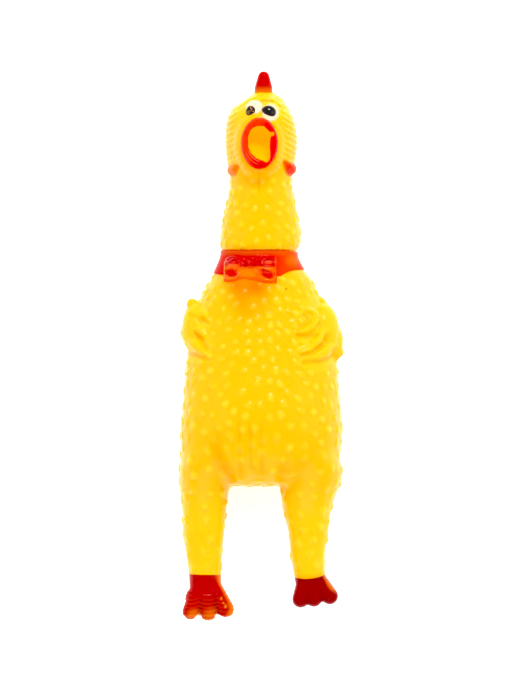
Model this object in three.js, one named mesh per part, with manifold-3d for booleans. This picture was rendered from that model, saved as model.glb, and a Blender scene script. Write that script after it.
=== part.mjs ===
// Rubber chicken: a hollow moulded vinyl squeeze toy with a reed whistle in its throat, lying on its back.
// Millimetres. +Z is up, out of the belly; +Y runs to the comb; +X is the chicken's own left.
// The origin is under the middle of the toy, on the surface it lies on.
import * as THREE from "three";
import { mergeVertices } from "three/addons/utils/BufferGeometryUtils.js";
import Module from "manifold-3d";

const wasm = await Module();
wasm.setup();

// ---- Driving dimensions ----
const WALL = 2.1; // vinyl thickness
const GAP = 0.3; // clearance between neighbouring solids
const COLLAR_THICKNESS = 1.4;
const RING_SIDES = 24; // points round the trunk and the legs
const FAR = 400; // larger than the toy, for cutting tools
const MID_Z = 31; // height of the trunk's middle over the surface

// Heights along Y where the moulding is divided, from the crown to the toes.
const HEAD_CUT = 95; // head above, nodding throat below
const NECK_TOP = 79;
const NECK_FOOT = 70.5;
const SHOULDER_CUT = 55; // swaying throat above, torso below
const HIP_TOP = -83;
const HIP_FOOT = -101.3;
const ANKLE_TOP = -113;
const PAINT_LINE = -128.5; // feet are dipped red below this

// Stations: [y, x centre, z centre, half width, half depth].
const TRUNK = [
  [-80, -3, 31, 8, 6],
  [-78.6, -3, 31, 19, 14],
  [-75, -2, 31, 30, 22.5],
  [-67, -1, MID_Z, 41.5, 30.5],
  [-54, 0, MID_Z, 45.4, 33.5],
  [-39, 0.4, MID_Z, 44.9, 34],
  [-24, 0.3, 30, 43.6, 32.5],
  [-9, 0.3, 28.5, 42.6, 30.5],
  [8, 0, 27, 40.2, 28.5],
  [22, -0.5, 26, 36, 26.5],
  [32, -0.2, 26, 31.8, 24.5],
  [39, 0, 26.5, 27.6, 22.5],
  [45, -0.8, 27, 23.6, 20.2],
  [53, -1, 27.5, 20.6, 18.8],
  [58, -0.3, 28, 22.2, 19.6],
  [70, -0.2, 28, 21.6, 19.2],
  [80, 0, 28, 19.6, 18.4],
  [90, 0, 28.5, 17.5, 18],
  [97, 0, 29, 17.7, 18.8],
  [104, 0, 30, 19.1, 20.2],
  [112, 0.1, 30.5, 20.1, 21],
  [121, 0, 30.5, 20, 21.2],
  [128, -0.3, 30.5, 18.7, 20.4],
  [134, -0.5, 30.3, 15.8, 18.3],
  [139, 0, 30, 11, 14.2],
  [141.8, 0.3, 30, 6, 8.5],
];
const LEG_LEFT = [
  [-134, 28, 28.8, 8.6, 8.4],
  [-128, 27.3, 28.2, 8.9, 9.6],
  [-117, 26.4, 28, 9.8, 10.6],
  [-107, 26.8, 28.2, 11, 12],
  [-94, 26.2, 28.6, 13.2, 13.6],
  [-84, 26.7, 29, 15.6, 15.6],
  [-73, 29.5, 29.5, 16.8, 17.5],
  [-62, 28.4, 30, 15.6, 17],
  [-50, 26, 30, 12, 13],
];
const LEG_RIGHT = [
  [-137, -31.3, 28.8, 9, 8.4],
  [-128, -31.7, 28.2, 9.2, 9.6],
  [-117, -32.2, 28, 10.2, 10.6],
  [-107, -32.5, 28.2, 11.5, 12],
  [-95, -32.1, 28.6, 12.2, 13.6],
  [-84, -31.9, 29, 13.5, 15.4],
  [-75, -31.9, 29.5, 14.4, 17],
  [-62, -30.4, 30, 14.6, 17],
  [-50, -28, 30, 12, 13],
];
// Toe tips: [x, y, radius]; the toes fan out from the ankle and lean a little forward.
const TOE_Z = 33;
const TOES_LEFT = [
  [21.3, -142.6, 5],
  [29.2, -143, 5.2],
  [38, -140.2, 5.4],
];
const TOES_RIGHT = [
  [-39.6, -144.4, 5.2],
  [-30.4, -149.95, 5.2],
  [-20.8, -144.8, 5.4],
];

const MOUTH = { x: -0.9, y: 114, halfWidth: 6.3, halfHeight: 10.2, rimZ: 54.5 };
const BELLY = { x: 0, y: -33, halfWidth: 29, halfLength: 36, fromZ: 40 };
const WHISTLE = { x: -0.5, z: 27.5, radius: 13, foot: 34, seatFoot: 42, seatTop: 48, top: 58 };

// ---- Solids ----
// A closed three.js geometry as a manifold solid, turned outside out if its faces point in.
function toSolid(geometry) {
  const bare = new THREE.BufferGeometry().setAttribute("position", geometry.getAttribute("position"));
  if (geometry.index) bare.setIndex(geometry.index);
  const merged = mergeVertices(bare, 1e-4);
  const triVerts = new Uint32Array(merged.index.array);
  const build = () =>
    new wasm.Manifold(
      new wasm.Mesh({ numProp: 3, vertProperties: merged.attributes.position.array, triVerts }),
    );
  const made = build();
  if (made.volume() >= 0) return made;
  for (let i = 0; i < triVerts.length; i += 3) {
    [triVerts[i + 1], triVerts[i + 2]] = [triVerts[i + 2], triVerts[i + 1]];
  }
  return build();
}

function toMesh(name, solid, material) {
  const raw = solid.getMesh();
  const geometry = new THREE.BufferGeometry();
  geometry.setAttribute("position", new THREE.BufferAttribute(new Float32Array(raw.vertProperties), 3));
  geometry.setIndex(new THREE.BufferAttribute(new Uint32Array(raw.triVerts), 1));
  const mesh = new THREE.Mesh(geometry, material);
  mesh.name = name;
  return mesh;
}

const unionOf = (solids) => solids.reduce((sum, solid) => sum.add(solid));

function box(xFrom, xTo, yFrom, yTo, zFrom, zTo) {
  const geometry = new THREE.BoxGeometry(xTo - xFrom, yTo - yFrom, zTo - zFrom);
  geometry.translate((xFrom + xTo) / 2, (yFrom + yTo) / 2, (zFrom + zTo) / 2);
  return toSolid(geometry);
}

// Everything between two heights, and optionally on one side of the middle.
function slab(yFrom, yTo, side = 0) {
  return box(side > 0 ? 0 : -FAR, side < 0 ? 0 : FAR, yFrom, yTo, -FAR, FAR);
}

function ellipsoid(x, y, z, halfX, halfY, halfZ, sides = 16) {
  const geometry = new THREE.SphereGeometry(1, sides, sides / 2);
  geometry.scale(halfX, halfY, halfZ).translate(x, y, z);
  return toSolid(geometry);
}

// A round-ended tapered finger between two points, pressed flat along Z by the given share.
function finger(from, to, fromRadius, toRadius, flat = 1, sides = 10) {
  const length = new THREE.Vector3().subVectors(to, from).length();
  const profile = [];
  for (let i = 0; i <= 3; i++) {
    const angle = (i / 3 - 1) * (Math.PI / 2);
    profile.push(new THREE.Vector2(fromRadius * Math.cos(angle), fromRadius * Math.sin(angle)));
  }
  for (let i = 0; i <= 3; i++) {
    const angle = (i / 3) * (Math.PI / 2);
    profile.push(new THREE.Vector2(toRadius * Math.cos(angle), length + toRadius * Math.sin(angle)));
  }
  profile[0].x = 0;
  profile[profile.length - 1].x = 0;
  const geometry = new THREE.LatheGeometry(profile, sides);
  const direction = new THREE.Vector3().subVectors(to, from).normalize();
  geometry.applyQuaternion(
    new THREE.Quaternion().setFromUnitVectors(new THREE.Vector3(0, 1, 0), direction),
  );
  geometry.scale(1, 1, flat).translate(from.x, from.y, from.z);
  return toSolid(geometry);
}

// A round part on the whistle's axis, from a closed profile of [radius, y] points.
function turned(profile, sides = 28) {
  const points = profile.map(([radius, y]) => new THREE.Vector2(radius, y));
  const geometry = new THREE.LatheGeometry([...points, points[0].clone()], sides);
  geometry.translate(WHISTLE.x, 0, WHISTLE.z);
  return toSolid(geometry);
}

const signedPower = (value, power) => Math.sign(value) * Math.abs(value) ** power;

// A loft through stations, grown outwards by offset. Its rings are slightly square.
// A trunk is pressed flat where it would reach below the surface that the toy lies on.
function loft(stations, offset, isTrunk) {
  const roundness = 2 / 2.2;
  const yMiddle = (stations[0][0] + stations.at(-1)[0]) / 2;
  const stretch = 1 + offset / (stations.at(-1)[0] - yMiddle);
  const positions = [];
  const indices = [];
  for (const [y, xCentre, zCentre, halfWidth, halfDepth] of stations) {
    for (let side = 0; side < RING_SIDES; side++) {
      const angle = (side / RING_SIDES) * 2 * Math.PI;
      const x = xCentre + (halfWidth + offset) * signedPower(Math.cos(angle), roundness);
      const z = zCentre + (halfDepth + offset) * signedPower(Math.sin(angle), roundness);
      positions.push(x, yMiddle + (y - yMiddle) * stretch, isTrunk ? Math.max(z, -offset) : z);
    }
  }
  for (let ring = 0; ring < stations.length - 1; ring++) {
    for (let side = 0; side < RING_SIDES; side++) {
      const here = ring * RING_SIDES + side;
      const next = ring * RING_SIDES + ((side + 1) % RING_SIDES);
      indices.push(here, here + RING_SIDES, next + RING_SIDES);
      indices.push(here, next + RING_SIDES, next);
    }
  }
  const lastRing = (stations.length - 1) * RING_SIDES;
  for (let side = 1; side < RING_SIDES - 1; side++) {
    indices.push(0, side, side + 1);
    indices.push(lastRing, lastRing + side + 1, lastRing + side);
  }
  const geometry = new THREE.BufferGeometry();
  geometry.setAttribute("position", new THREE.Float32BufferAttribute(positions, 3));
  geometry.setIndex(indices);
  return toSolid(geometry);
}

// The short muzzle that the open beak stands on.
function muzzle(offset) {
  const points = [
    [0, 0],
    [1.5, 0],
    [1.32, 0.4],
    [1.12, 0.75],
    [1, 1],
    [0, 1],
  ].map(([radius, height]) => new THREE.Vector2(radius, height));
  const geometry = new THREE.LatheGeometry(points, RING_SIDES);
  geometry.rotateX(Math.PI / 2);
  const zFrom = 34;
  geometry.scale(10.2 + offset, 14.2 + offset, MOUTH.rimZ + offset - zFrom);
  geometry.translate(MOUTH.x, MOUTH.y, zFrom);
  return toSolid(geometry);
}

function toes(tips, ankle, offset) {
  return unionOf(
    tips.map(([x, y, radius]) =>
      finger(
        new THREE.Vector3(ankle[1], ankle[0] + 5, ankle[2]),
        new THREE.Vector3(x, y, TOE_Z),
        7 + offset,
        radius + offset,
        1,
      ),
    ),
  );
}

// The whole outer form of the moulding, grown or shrunk. The shrunk form is the hollow, and stops at the toes.
function form(offset) {
  const pieces = [
    loft(TRUNK, offset, true),
    loft(LEG_LEFT, offset, false),
    loft(LEG_RIGHT, offset, false),
    muzzle(offset),
  ];
  if (offset >= 0) {
    pieces.push(toes(TOES_LEFT, LEG_LEFT[0], offset), toes(TOES_RIGHT, LEG_RIGHT[0], offset));
  }
  return unionOf(pieces);
}

const outer = form(0);
const hollow = form(-WALL);
const clearance = form(GAP);

// An upright prism with an oval outline, for the mouth and the belly panel.
function ovalPrism({ x, y, halfWidth, halfLength }, shrink, zFrom, zTo, squareness = 2) {
  const outline = new THREE.Shape();
  const sides = 32;
  for (let side = 0; side < sides; side++) {
    const angle = (side / sides) * 2 * Math.PI;
    const px = x + (halfWidth - shrink) * signedPower(Math.cos(angle), 2 / squareness);
    const py = y + (halfLength - shrink) * signedPower(Math.sin(angle), 2 / squareness);
    if (side) outline.lineTo(px, py);
    else outline.moveTo(px, py);
  }
  outline.closePath();
  const geometry = new THREE.ExtrudeGeometry(outline, { depth: zTo - zFrom, bevelEnabled: false });
  return toSolid(geometry.translate(0, 0, zFrom));
}

const mouthHole = ovalPrism({ ...MOUTH, halfLength: MOUTH.halfHeight }, 0, MID_Z, FAR);
const skin = outer.subtract(hollow).subtract(mouthHole);

// ---- Materials ----
const finish = (color, roughness = 0.35, metalness = 0) =>
  new THREE.MeshStandardMaterial({ color, roughness, metalness });
const yellowVinyl = finish(0xffd414);
const redPaint = finish(0xe01008, 0.3);
const darkRedPaint = finish(0xb80408, 0.35);
const whitePaint = finish(0xf6ece2, 0.3);
const blackPaint = finish(0x0a0808, 0.2);
const whistlePlastic = finish(0xf2f2ee, 0.4);
const reedPlastic = finish(0xd9dde0, 0.25);

const chicken = new THREE.Group();
const place = (name, solid, material) => chicken.add(toMesh(name, solid, material));

// ---- The moulding, divided where it bends ----
function section(yFrom, yTo, side = 0) {
  return skin.intersect(slab(yFrom + GAP / 2, yTo - GAP / 2, side));
}

const bellyWindow = ovalPrism(BELLY, 0, BELLY.fromZ, FAR, 2.4);
const bellyPlug = ovalPrism(BELLY, GAP, BELLY.fromZ, FAR, 2.4);
const seatBore = turned([
  [0, WHISTLE.foot],
  [WHISTLE.radius + GAP, WHISTLE.foot],
  [WHISTLE.radius + GAP, WHISTLE.top],
  [0, WHISTLE.top],
]);
const whistleSeat = form(-WALL + 0.4)
  .intersect(slab(WHISTLE.seatFoot, WHISTLE.seatTop))
  .subtract(seatBore);

place("torso_shell", section(HIP_TOP, SHOULDER_CUT).subtract(bellyWindow).add(whistleSeat), yellowVinyl);
place("belly_panel", section(HIP_TOP, SHOULDER_CUT).intersect(bellyPlug), yellowVinyl);
place("throat_sway_ring", section(SHOULDER_CUT, NECK_FOOT), yellowVinyl);
place("neck_shell", section(NECK_FOOT, NECK_TOP), yellowVinyl);
place("throat_nod_ring", section(NECK_TOP, HEAD_CUT), yellowVinyl);
place("head_shell", section(HEAD_CUT, FAR), yellowVinyl);
for (const [word, side] of [
  ["left", 1],
  ["right", -1],
]) {
  place(`hip_ring_${word}`, section(HIP_FOOT, HIP_TOP, side), yellowVinyl);
  place(`leg_shell_${word}`, section(ANKLE_TOP, HIP_FOOT, side), yellowVinyl);
  place(`ankle_ring_${word}`, section(PAINT_LINE, ANKLE_TOP, side), yellowVinyl);
  place(`foot_${word}`, section(-FAR, PAINT_LINE, side), darkRedPaint);
}

// ---- Head details ----
function comb() {
  // [y of tip, z of tip, z of root, root radius, tip radius], from the brow to the nape.
  const lobes = [
    [149.5, 37.5, 35, 5.2, 4.2],
    [151.2, 30, 29.5, 5.2, 3.8],
    [148.5, 22, 24, 5, 3.2],
    [143.5, 15, 19, 4.6, 2.6],
  ];
  const fingers = lobes.map(([tipY, tipZ, rootZ, rootRadius, tipRadius]) =>
    finger(
      new THREE.Vector3(0.4, 136, rootZ),
      new THREE.Vector3(1.2, tipY, tipZ),
      rootRadius,
      tipRadius,
    ),
  );
  const ridge = finger(new THREE.Vector3(0.6, 143.5, 35.5), new THREE.Vector3(0.6, 140.5, 19), 3.6, 2.6);
  return unionOf([ridge, ...fingers]).subtract(clearance);
}
place("comb", comb(), redPaint);

function lips() {
  const ring = new THREE.TorusGeometry(10.35, 2.2, 10, 28);
  ring.scale(0.81, 1.2, 1).translate(MOUTH.x, MOUTH.y + 0.2, MOUTH.rimZ + 1.6);
  return toSolid(ring).subtract(clearance);
}
place("beak_lips", lips(), redPaint);

const EYES = {
  left: { x: 5.3, y: 132.4, z: 45.6, pupilX: 4.7, pupilRadius: 3.3 },
  right: { x: -4.4, y: 133.4, z: 45.6, pupilX: -5.4, pupilRadius: 2.8 },
};
for (const [word, eye] of Object.entries(EYES)) {
  const white = ellipsoid(eye.x, eye.y, eye.z, 4.6, 5.2, 4.4);
  const whiteClearance = ellipsoid(eye.x, eye.y, eye.z, 4.9, 5.5, 4.7);
  const pupil = ellipsoid(eye.pupilX, eye.y - 0.6, eye.z + 3.4, eye.pupilRadius, eye.pupilRadius, 2.2);
  place(`eye_${word}`, white.subtract(clearance), whitePaint);
  place(`pupil_${word}`, pupil.subtract(whiteClearance).subtract(clearance), blackPaint);
}

const WATTLES = { left: [16.3, 100.6, 34.5, 4.1], right: [-16.4, 99.9, 34.5, 3.5] };
for (const [word, [x, y, z, radius]] of Object.entries(WATTLES)) {
  place(`wattle_${word}`, ellipsoid(x, y, z, radius, radius * 1.05, radius * 1.2).subtract(clearance), redPaint);
}

// ---- Wings, moulded folded against the flanks ----
// Feather fingers: [from x, y, z, to x, y, z, from radius, to radius].
const WINGS = {
  left: {
    shoulder: [35.5, 10, 35, 9, 16, 11.5],
    feathers: [
      [36, 21, 36, 26, 14, 46.5, 5.2, 3.4],
      [37, 12, 38, 26, 5, 50, 5.4, 3.6],
      [38, 2, 39, 28, -6, 52, 5.2, 3.2],
    ],
  },
  right: {
    shoulder: [-37, 12, 35, 8, 14, 10],
    feathers: [
      [-36, 23, 36, -29, 18, 44.5, 4.6, 3],
      [-38, 14, 38, -29.5, 9, 48, 4.8, 3.2],
      [-39, 5, 39, -30, -2, 50.5, 5, 3.2],
    ],
  },
};
for (const [word, { shoulder, feathers }] of Object.entries(WINGS)) {
  const fingers = feathers.map(([fx, fy, fz, tx, ty, tz, fromRadius, toRadius]) =>
    finger(new THREE.Vector3(fx, fy, fz), new THREE.Vector3(tx, ty, tz), fromRadius, toRadius),
  );
  place(`wing_${word}`, unionOf([ellipsoid(...shoulder), ...fingers]).subtract(clearance), yellowVinyl);
}

// ---- Collar and bow ----
const COLLAR = { foot: 42.5, top: 54.5 };
const collar = form(COLLAR_THICKNESS).intersect(slab(COLLAR.foot, COLLAR.top)).subtract(clearance);
place("collar_band", collar, redPaint);

const overCollar = form(COLLAR_THICKNESS + GAP);
const BOW = { x: -7, y: 45.5, z: 49.5 };
// Bow pieces other than the knot: [from x, y, to x, y, from radius, to radius] from the knot's middle.
const BOW_PIECES = {
  bow_loop_left: [4, 0.4, 10, 0.2, 3.4, 5.4],
  bow_loop_right: [-3.6, 0.4, -9, 0.8, 3.4, 5.6],
  bow_tail_left: [4.4, -4, 10.4, -6.4, 2.2, 3],
  bow_tail_right: [-4, -4, -9.8, -5.8, 2.2, 3],
};
const knot = (grow) => ellipsoid(BOW.x, BOW.y, BOW.z, 4.2 + grow, 4.8 + grow, 4.4 + grow);
place("bow_knot", knot(0).subtract(overCollar), redPaint);
let taken = knot(GAP).add(overCollar);
for (const [name, [fx, fy, tx, ty, fromRadius, toRadius]] of Object.entries(BOW_PIECES)) {
  const span = [
    new THREE.Vector3(BOW.x + fx, BOW.y + fy, BOW.z),
    new THREE.Vector3(BOW.x + tx, BOW.y + ty, BOW.z - 1.2),
  ];
  place(name, finger(...span, fromRadius, toRadius, 1).intersect(bowSlice()).subtract(taken), redPaint);
  taken = taken.add(finger(...span, fromRadius + GAP, toRadius + GAP, 1));
}

// The bow is no thicker than this over the collar.
function bowSlice() {
  return box(-FAR, FAR, -FAR, FAR, BOW.z - 8, BOW.z + 3.4);
}

// ---- Reed whistle in the throat ----
function whistleBarrel() {
  const { radius, foot, seatFoot, seatTop, top } = WHISTLE;
  const bore = radius - 1.6;
  return turned([
    [bore, foot],
    [radius, foot],
    [radius, seatFoot - 2.4],
    [radius + 0.7, seatFoot - 1.2],
    [radius, seatFoot - GAP],
    [radius, seatTop + GAP],
    [radius + 2, seatTop + GAP],
    [radius + 2, seatTop + 2],
    [radius, seatTop + 2],
    [radius, top - 2],
    [bore, top - 2],
    [bore, 46],
    [5, 46],
    [5, 44.5],
    [bore, 44.5],
  ]);
}
place("whistle_barrel", whistleBarrel(), whistlePlastic);

function whistleGrille() {
  const disc = new THREE.Shape().absarc(0, 0, WHISTLE.radius - 1.6 - GAP, 0, 2 * Math.PI);
  for (let i = 0; i < 6; i++) {
    const angle = (i / 6) * 2 * Math.PI;
    disc.holes.push(new THREE.Path().absarc(6.6 * Math.cos(angle), 6.6 * Math.sin(angle), 2.2, 0, 2 * Math.PI, true));
  }
  disc.holes.push(new THREE.Path().absarc(0, 0, 2.2, 0, 2 * Math.PI, true));
  const geometry = new THREE.ExtrudeGeometry(disc, { depth: 1.6, bevelEnabled: false, curveSegments: 6 });
  geometry.rotateX(-Math.PI / 2).translate(WHISTLE.x, WHISTLE.foot + 0.6, WHISTLE.z);
  return toSolid(geometry);
}
place("whistle_grille", whistleGrille(), whistlePlastic);

// The reed sits on a trough that stands on the barrel's shelf, and is clamped at its upper end.
const REED = { halfWidth: 3, foot: 48, hinge: 54.6, end: 58, troughTop: WHISTLE.z + 3.5, thickness: 0.5 };
function reedTrough() {
  const { x, z } = WHISTLE;
  const flange = turned([
    [0, 46 + GAP],
    [7, 46 + GAP],
    [7, 47.5],
    [0, 47.5],
  ]);
  const post = box(x - 4.5, x + 4.5, 47, REED.end, z - 3.5, REED.troughTop);
  const channel = box(x - 2.4, x + 2.4, 46, REED.end - 2.5, z - 1.8, REED.troughTop + 1);
  return flange.add(post).subtract(channel);
}
place("reed_trough", reedTrough(), whistlePlastic);

const reedZ = REED.troughTop + GAP;
place(
  "reed_tongue",
  box(WHISTLE.x - REED.halfWidth, WHISTLE.x + REED.halfWidth, REED.foot, REED.hinge + GAP, reedZ, reedZ + REED.thickness),
  reedPlastic,
);
place(
  "reed_clamp",
  box(WHISTLE.x - 4, WHISTLE.x + 4, REED.hinge + 2 * GAP, REED.end, reedZ, reedZ + 2.2),
  whistlePlastic,
);

export default chicken;
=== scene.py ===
"""Rubber chicken lying on its back on a pale floor. The frame is the part's own: +Z out of the
belly, +Y to the comb."""

import math
import random

import bpy
import numpy as np
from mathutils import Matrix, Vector, kdtree, noise


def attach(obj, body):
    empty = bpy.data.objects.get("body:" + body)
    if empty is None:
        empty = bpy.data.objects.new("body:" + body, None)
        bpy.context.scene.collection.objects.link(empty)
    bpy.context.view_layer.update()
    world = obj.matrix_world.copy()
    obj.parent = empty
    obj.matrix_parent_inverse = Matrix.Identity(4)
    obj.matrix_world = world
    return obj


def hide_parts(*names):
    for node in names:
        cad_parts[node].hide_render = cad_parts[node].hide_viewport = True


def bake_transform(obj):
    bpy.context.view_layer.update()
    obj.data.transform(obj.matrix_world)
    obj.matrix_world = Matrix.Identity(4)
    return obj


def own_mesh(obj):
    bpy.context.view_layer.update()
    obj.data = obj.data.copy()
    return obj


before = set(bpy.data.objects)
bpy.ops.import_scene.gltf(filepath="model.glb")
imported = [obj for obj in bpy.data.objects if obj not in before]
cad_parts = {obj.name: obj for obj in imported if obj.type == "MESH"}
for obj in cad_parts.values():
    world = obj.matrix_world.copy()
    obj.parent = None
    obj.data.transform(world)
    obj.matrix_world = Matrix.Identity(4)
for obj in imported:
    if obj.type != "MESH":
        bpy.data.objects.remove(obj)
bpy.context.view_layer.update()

random.seed(20)
MM = 0.001
FLOOR_GAP = 0.02  # lowest point above the floor
VOXEL = 0.62  # edge of the skin's quads
SQUARENESS = 2.2  # of the trunk's and legs' cross-sections
RIB_PITCH = 6.3
FEATHER_PITCH = 3.3
TOE_RING_PITCH = 2.2
LARGEST_PIMPLE = 3.2  # radius
PIMPLE_HEIGHT = 0.8

# ---- The moulding's form ----
# Stations: [y, x centre, z centre, half width, half depth].
TRUNK = [
    [-79, -3, 31, 9, 6],
    [-77.8, -3, 31, 19, 14],
    [-74.5, -2, 31, 30, 21.5],
    [-67, -1, 31, 41.5, 28.5],
    [-54, 0, 31, 45.4, 32.5],
    [-39, 0.4, 31, 44.9, 34],
    [-24, 0.3, 30, 43.6, 32.5],
    [-9, 0.3, 28.5, 42.6, 30.5],
    [8, 0, 27, 40.2, 28.5],
    [22, -0.5, 26, 36, 26.5],
    [32, -0.2, 26, 31.8, 24.5],
    [39, 0, 26.5, 27.6, 22.5],
    [45, -0.8, 27, 23.6, 20.2],
    [53, -1, 27.5, 20.6, 18.8],
    [58, -0.3, 28, 22.2, 19.6],
    [70, -0.2, 28, 21.6, 19.2],
    [80, 0, 28, 19.6, 18.4],
    [90, 0, 28.5, 17.5, 18],
    [97, 0, 29, 17.7, 18.8],
    [104, 0, 30, 19.1, 20.2],
    [112, 0.1, 30.5, 20.1, 21],
    [121, 0, 30.5, 20, 21.2],
    [128, -0.3, 30.5, 18.7, 20.4],
    [134, -0.2, 30.3, 15.9, 18.3],
    [139, 1.4, 30, 10.9, 14.2],
    [142, 2, 30, 7.6, 9],
    [143.2, 2, 30, 4.6, 5],
]
LEGS = {
    "left": [
        [-134, 28, 28.8, 8.6, 8.4],
        [-128, 27.3, 28.2, 8.9, 9.6],
        [-117, 26.4, 28, 9.8, 10.6],
        [-107, 26.8, 28.2, 11, 12],
        [-94, 26.2, 28.6, 13.2, 13.6],
        [-84, 26.7, 29, 15.6, 17.5],
        [-73, 29.5, 29.5, 16.8, 22.5],
        [-62, 28.4, 30, 15.6, 25],
        [-50, 26, 30, 12, 22],
    ],
    "right": [
        [-137, -31.3, 28.8, 9, 8.4],
        [-128, -31.7, 28.2, 9.2, 9.6],
        [-117, -32.2, 28, 10.2, 10.6],
        [-107, -32.5, 28.2, 11.5, 12],
        [-95, -32.1, 28.6, 12.2, 13.6],
        [-84, -31.9, 29, 13.5, 17.5],
        [-75, -31.9, 29.5, 14.4, 21.5],
        [-62, -30.4, 30, 14.6, 25],
        [-50, -28, 30, 12, 22],
    ],
}
# Toe tips: [x, y, radius].
TOES = {
    "left": [[22.3, -142.7, 5], [29.8, -142.1, 5.1], [38.8, -140.9, 5]],
    "right": [[-39.9, -149.5, 4.8], [-29.8, -150.4, 4.8], [-20, -148.3, 5.1]],
}
TOE_Z = 33
# Lines between the toes, darkened along them as painted shade.
TOE_GAPS = [
    [(-34.5, -153), (-33.8, -143)],
    [(-24.6, -151), (-26, -141)],
    [(36.1, -146), (33.6, -138)],
    [(26.2, -148), (26.6, -139)],
]
TOE_BALL = 7.4  # radius where the toes leave the ankle
MOUTH = Vector((-0.9, 114, 54.5))
MUZZLE = (10.2, 14.2)  # half width, half height
# Share of the muzzle's width and height, z.
MUZZLE_RINGS = [(1.58, 34), (1.54, 40), (1.46, 45), (1.34, 49), (1.16, 51.6), (0.98, 52.8)]
LIP_OUTER = (10.45, 14.5)  # half width, half height
# The torn inner edge of the beak's opening, from its top round by the chicken's right.
LIP_EDGE = [
    *[(-0.7, 123.6), (-3.9, 122.9), (-6, 121.1), (-7.1, 117.5), (-7.1, 112), (-5.3, 108.1)],
    *[(-2.5, 105.7), (1, 104.3), (3.3, 103.1), (4.9, 104.6), (5.1, 108.5), (4.8, 112)],
    *[(5.1, 116.8), (6.3, 119.3), (4.7, 120.5), (1.6, 123.5)],
]
# Eyeballs: x, y, half width, half height.
EYES = {"left": (5.3, 132.2, 4.9, 5.2), "right": (-4.6, 133.2, 4.6, 5)}
EYE_Z, EYE_DEPTH = 45.4, 4.7
# Their white paint, sprayed a little beside them: x, y, half width, half height.
EYE_WHITES = [(5.4, 131.5, 5.1, 5.3), (-3.7, 134.7, 5, 4.3)]
COMB_ROOT_Y = 139.5
# Comb lobes: [tip y, tip z, root z, middle radius, tip radius], from the brow to the nape.
COMB = [
    [152, 37.2, 35, 5.3, 3.5],
    [151.6, 30, 30, 4.8, 3.1],
    [149.2, 22, 24, 4, 2.5],
    [144.6, 15, 19, 3.5, 2.2],
]
# Drops: upper end, lower end, upper radius, lower radius.
WATTLES = {
    "left": ((13.4, 103.4, 44.4), (16.3, 100.2, 36.2), 1.3, 4),
    "right": ((-13.2, 101.2, 44), (-15.9, 99.4, 36.2), 1.2, 3.5),
}


def resampled(stations, step=1.5):
    """Stations at an even step, on a smooth curve through the given ones."""
    table = np.array(stations, float)
    y = table[:, 0]
    slope = np.gradient(table, y, axis=0)
    at = np.linspace(y[0], y[-1], int(abs(y[-1] - y[0]) / step) + 2)
    i = np.clip(np.searchsorted(y, at, side="right") - 1, 0, len(y) - 2)
    h = (y[i + 1] - y[i])[:, None]
    t = (at - y[i])[:, None] / h
    return (
        (2 * t**3 - 3 * t**2 + 1) * table[i]
        + (t**3 - 2 * t**2 + t) * h * slope[i]
        + (3 * t**2 - 2 * t**3) * table[i + 1]
        + (t**3 - t**2) * h * slope[i + 1]
    )


TRUNK_ROWS = resampled(TRUNK)


def trunk_at(y):
    """x centre, z centre, half width and half depth of the trunk at y."""
    return (np.interp(y, TRUNK_ROWS[:, 0], TRUNK_ROWS[:, k]) for k in (1, 2, 3, 4))


def rounded_square(turn):
    """The x and z at a turn round a cross-section with half sides of 1."""
    cos, sin = np.cos(turn), np.sin(turn)
    power = 2 / SQUARENESS
    return np.sign(cos) * np.abs(cos) ** power, np.sign(sin) * np.abs(sin) ** power


def front_z(x, y):
    """Height of the trunk's front over a point (x, y)."""
    xc, zc, hw, hd = trunk_at(y)
    share = np.clip(np.abs((x - xc) / hw), 0, 0.97)
    return zc + hd * (1 - share**SQUARENESS) ** (1 / SQUARENESS)


def on_ball(centre, radii, lift, turn):
    """An ellipsoid's point, at an angle up from its middle and a turn about it."""
    return (
        centre[0] + radii[0] * math.cos(lift) * math.cos(turn),
        centre[1] + radii[1] * math.cos(lift) * math.sin(turn),
        centre[2] + radii[2] * math.sin(lift),
    )


def new_object(name, data):
    """An object in the scene."""
    obj = bpy.data.objects.new(name, data)
    bpy.context.scene.collection.objects.link(obj)
    return obj


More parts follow.
